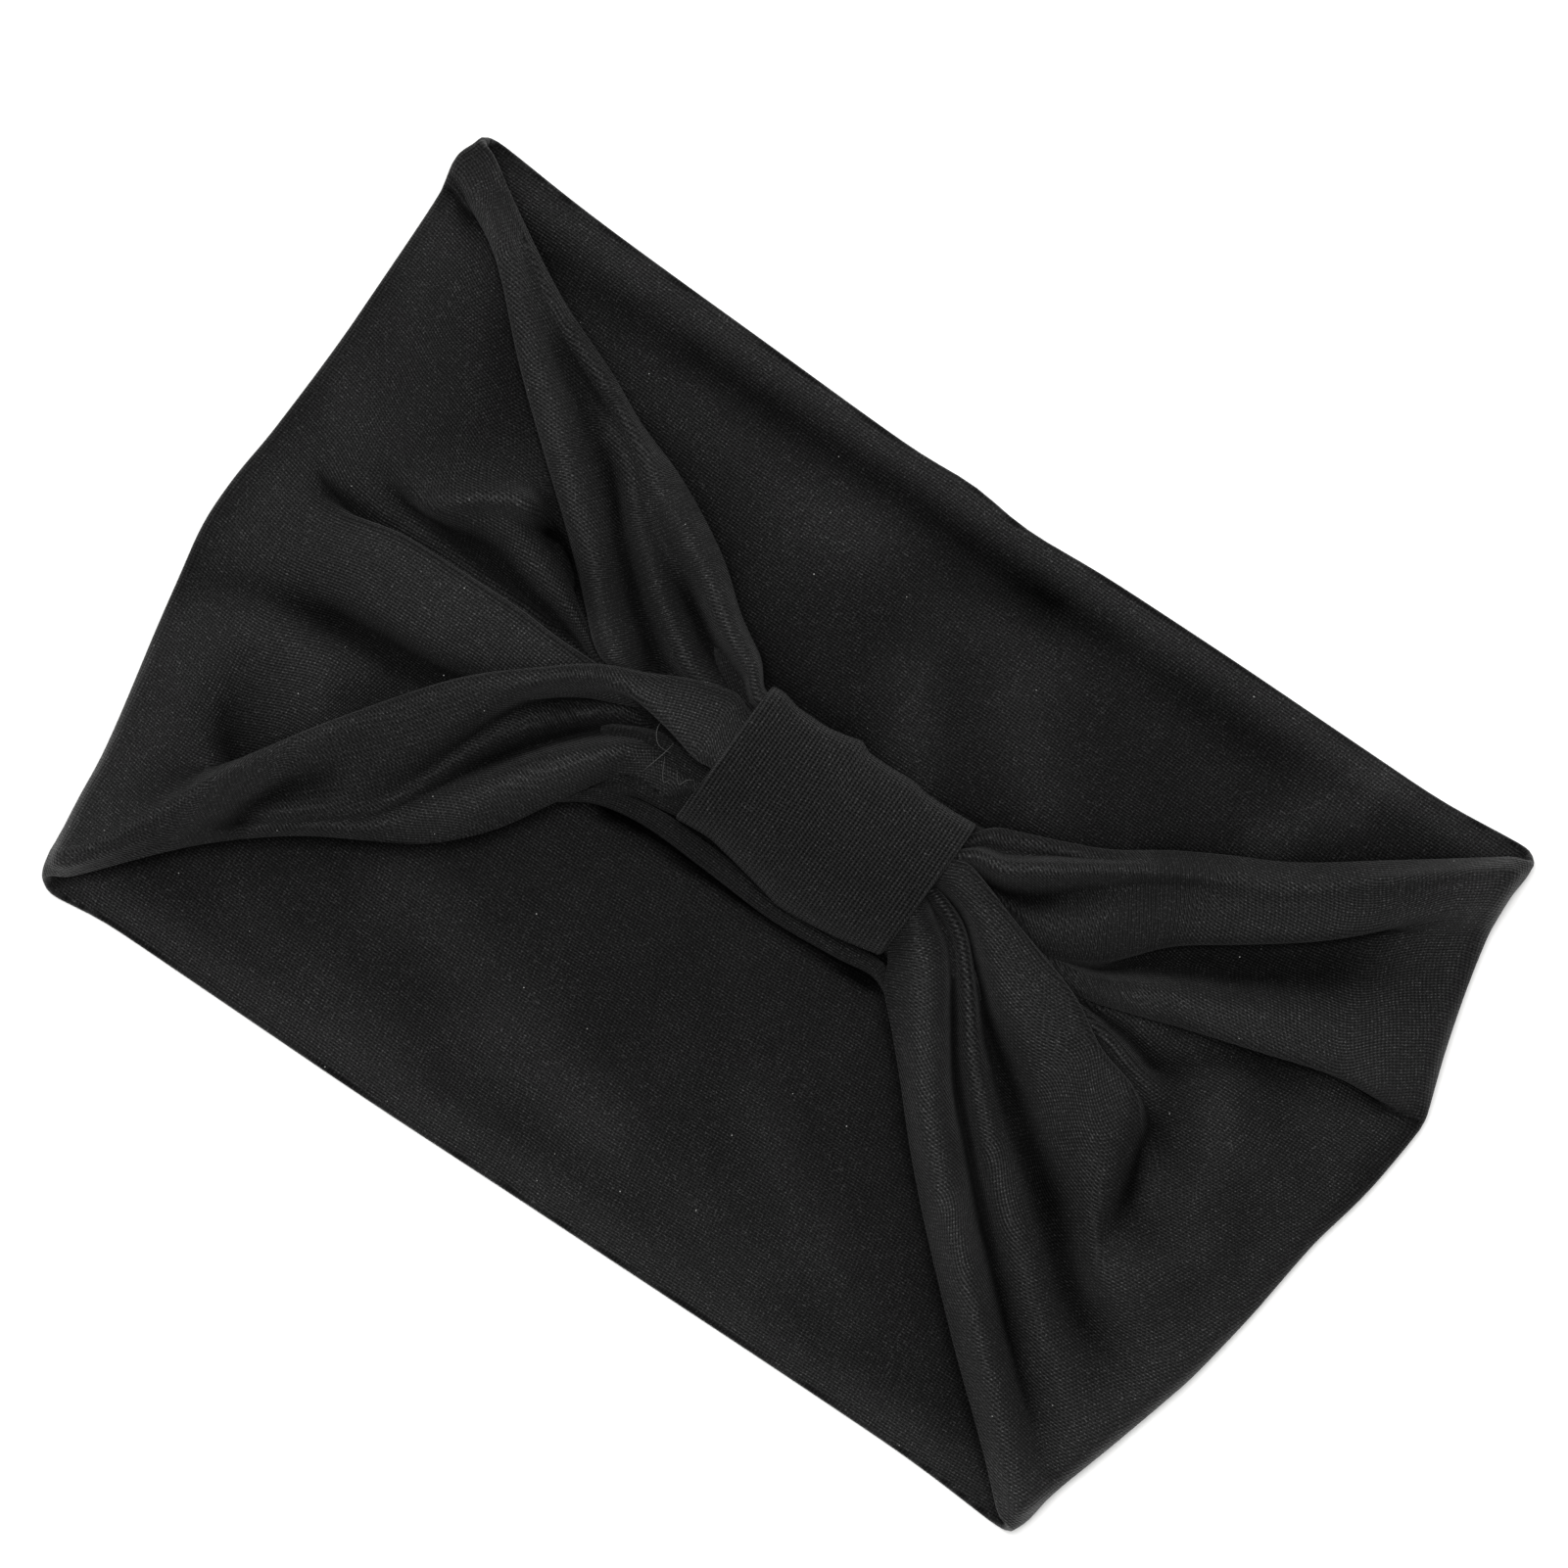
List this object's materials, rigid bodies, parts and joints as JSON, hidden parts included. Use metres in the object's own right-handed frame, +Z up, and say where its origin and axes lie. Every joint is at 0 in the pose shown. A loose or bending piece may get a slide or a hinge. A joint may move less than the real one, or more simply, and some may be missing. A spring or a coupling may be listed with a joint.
{
  "type": "knotted headband",
  "caption": "Wide headband of doubled black jersey, lying flat, its front gathered through a short wrap of the same cloth.",
  "frame": {"origin": "middle of the headband's outline, on the surface that it lies on", "axes": "+X along the band towards the end with the right-hand wing, +Y across the band towards its upper long edge, +Z up from the surface, on the side of the knot"},
  "size_m": [0.2596, 0.168, 0.0164],
  "materials": {
    "band_jersey": "matt black fine-gauge jersey, doubled",
    "wrap_jersey": "matt black fine-gauge jersey, its wales showing as fine ribs"
  },
  "bodies": {
    "root": {"band": "band_jersey", "knot_wrap": "wrap_jersey"}
  },
  "joints": []
}
